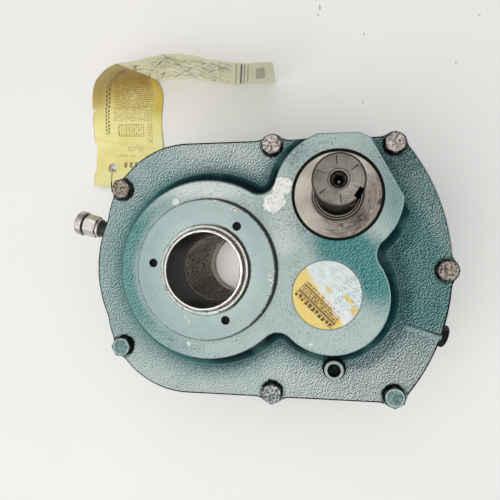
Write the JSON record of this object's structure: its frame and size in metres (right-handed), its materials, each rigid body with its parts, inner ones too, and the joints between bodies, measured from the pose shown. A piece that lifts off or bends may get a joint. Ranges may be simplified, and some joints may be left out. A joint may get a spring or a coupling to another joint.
{
  "type": "shaft mount reducer",
  "caption": "Shaft mount gear reducer: split cast casing, hollow output hub with bushing seats, offset keyed input shaft, helical gear train, breather and hanging paper tag.",
  "frame": {"origin": "on the output bore axis, at the parting plane of the casing", "axes": "+Z along the output bore towards the input shaft end, +X from the output bore towards the far end of the casing; the reducer lies on its rear face at z = -76 mm"},
  "size_m": [0.3477, 0.2984, 0.224],
  "materials": {
    "casing_paint": "teal enamel over sand-cast iron, satin",
    "plate_paint": "teal enamel on sheet steel, chipped edges",
    "gasket_paper": "dark fibre gasket",
    "bolt_steel": "plain steel with overspray and light rust",
    "zinc_steel": "zinc-plated steel",
    "machined_steel": "turned steel",
    "ring_steel": "spring steel",
    "shaft_steel": "ground shaft steel, oiled",
    "carrier_steel": "turned steel, brownish oil film",
    "gear_steel": "hobbed steel, oiled",
    "bearing_steel": "ground bearing steel",
    "cage_steel": "pressed steel",
    "black_rubber": "nitrile rubber",
    "plug_paint": "worn teal over steel",
    "black_plug": "blackened steel",
    "nickel_steel": "nickel plate",
    "label_film": "worn film label, bare of print",
    "tag_paper": "coated paper",
    "wire_steel": "soft iron wire"
  },
  "bodies": {
    "housing": {"breather_body": "nickel_steel", "breather_cap": "nickel_steel", "carrier_o_ring": "black_rubber", "countershaft_bearing_front_cup": "bearing_steel", "countershaft_bearing_rear_cup": "bearing_steel", "cover_gasket": "gasket_paper", "cover_screws": "zinc_steel", "dowel_pins": "zinc_steel", "drain_plug": "black_plug", "end_cover": "casing_paint", "front_housing": "casing_paint", "housing_bolts": "bolt_steel", "housing_gasket": "gasket_paper", "housing_nuts": "zinc_steel", "input_bearing_front_cup": "bearing_steel", "input_bearing_rear_cup": "bearing_steel", "input_oil_seal": "black_rubber", "input_seal_carrier": "carrier_steel", "instruction_tag": "tag_paper", "level_plug": "plug_paint", "lock_washers": "zinc_steel", "output_bearing_front_cup": "bearing_steel", "output_bearing_rear_cup": "bearing_steel", "output_seal_front": "black_rubber", "output_seal_rear": "black_rubber", "rear_housing": "casing_paint", "round_label": "label_film", "tag_wire": "wire_steel"},
    "output": {"backing_plate_front": "plate_paint", "backing_plate_rear": "plate_paint", "output_bearing_front_cage": "cage_steel", "output_bearing_front_cone": "bearing_steel", "output_bearing_front_rollers": "bearing_steel", "output_bearing_rear_cage": "cage_steel", "output_bearing_rear_cone": "bearing_steel", "output_bearing_rear_rollers": "bearing_steel", "output_gear": "gear_steel", "output_gear_key": "gear_steel", "output_hub": "machined_steel", "retaining_ring_front": "ring_steel", "retaining_ring_rear": "ring_steel"},
    "countershaft": {"countershaft": "gear_steel", "countershaft_bearing_front_cage": "cage_steel", "countershaft_bearing_front_cone": "bearing_steel", "countershaft_bearing_front_rollers": "bearing_steel", "countershaft_bearing_rear_cage": "cage_steel", "countershaft_bearing_rear_cone": "bearing_steel", "countershaft_bearing_rear_rollers": "bearing_steel", "countershaft_gear": "gear_steel", "countershaft_key": "gear_steel"},
    "input": {"input_bearing_front_cage": "cage_steel", "input_bearing_front_cone": "bearing_steel", "input_bearing_front_rollers": "bearing_steel", "input_bearing_rear_cage": "cage_steel", "input_bearing_rear_cone": "bearing_steel", "input_bearing_rear_rollers": "bearing_steel", "input_shaft": "shaft_steel"}
  },
  "joints": [
    {"name": "output_spin", "type": "hinge", "parent": "housing", "child": "output", "pos_m": [0, 0, 0], "axis": [0, 0, 1], "continuous": true},
    {"name": "countershaft_spin", "type": "hinge", "parent": "housing", "child": "countershaft", "pos_m": [0.09199, -0.01933, 0], "axis": [0, 0, 1], "continuous": true},
    {"name": "input_spin", "type": "hinge", "parent": "housing", "child": "input", "pos_m": [0.097, 0.0545, 0], "axis": [0, 0, 1], "continuous": true}
  ],
  "couplings": [
    {"joint": "countershaft_spin", "follows": "output_spin", "ratio": -5},
    {"joint": "input_spin", "follows": "output_spin", "ratio": 15}
  ]
}
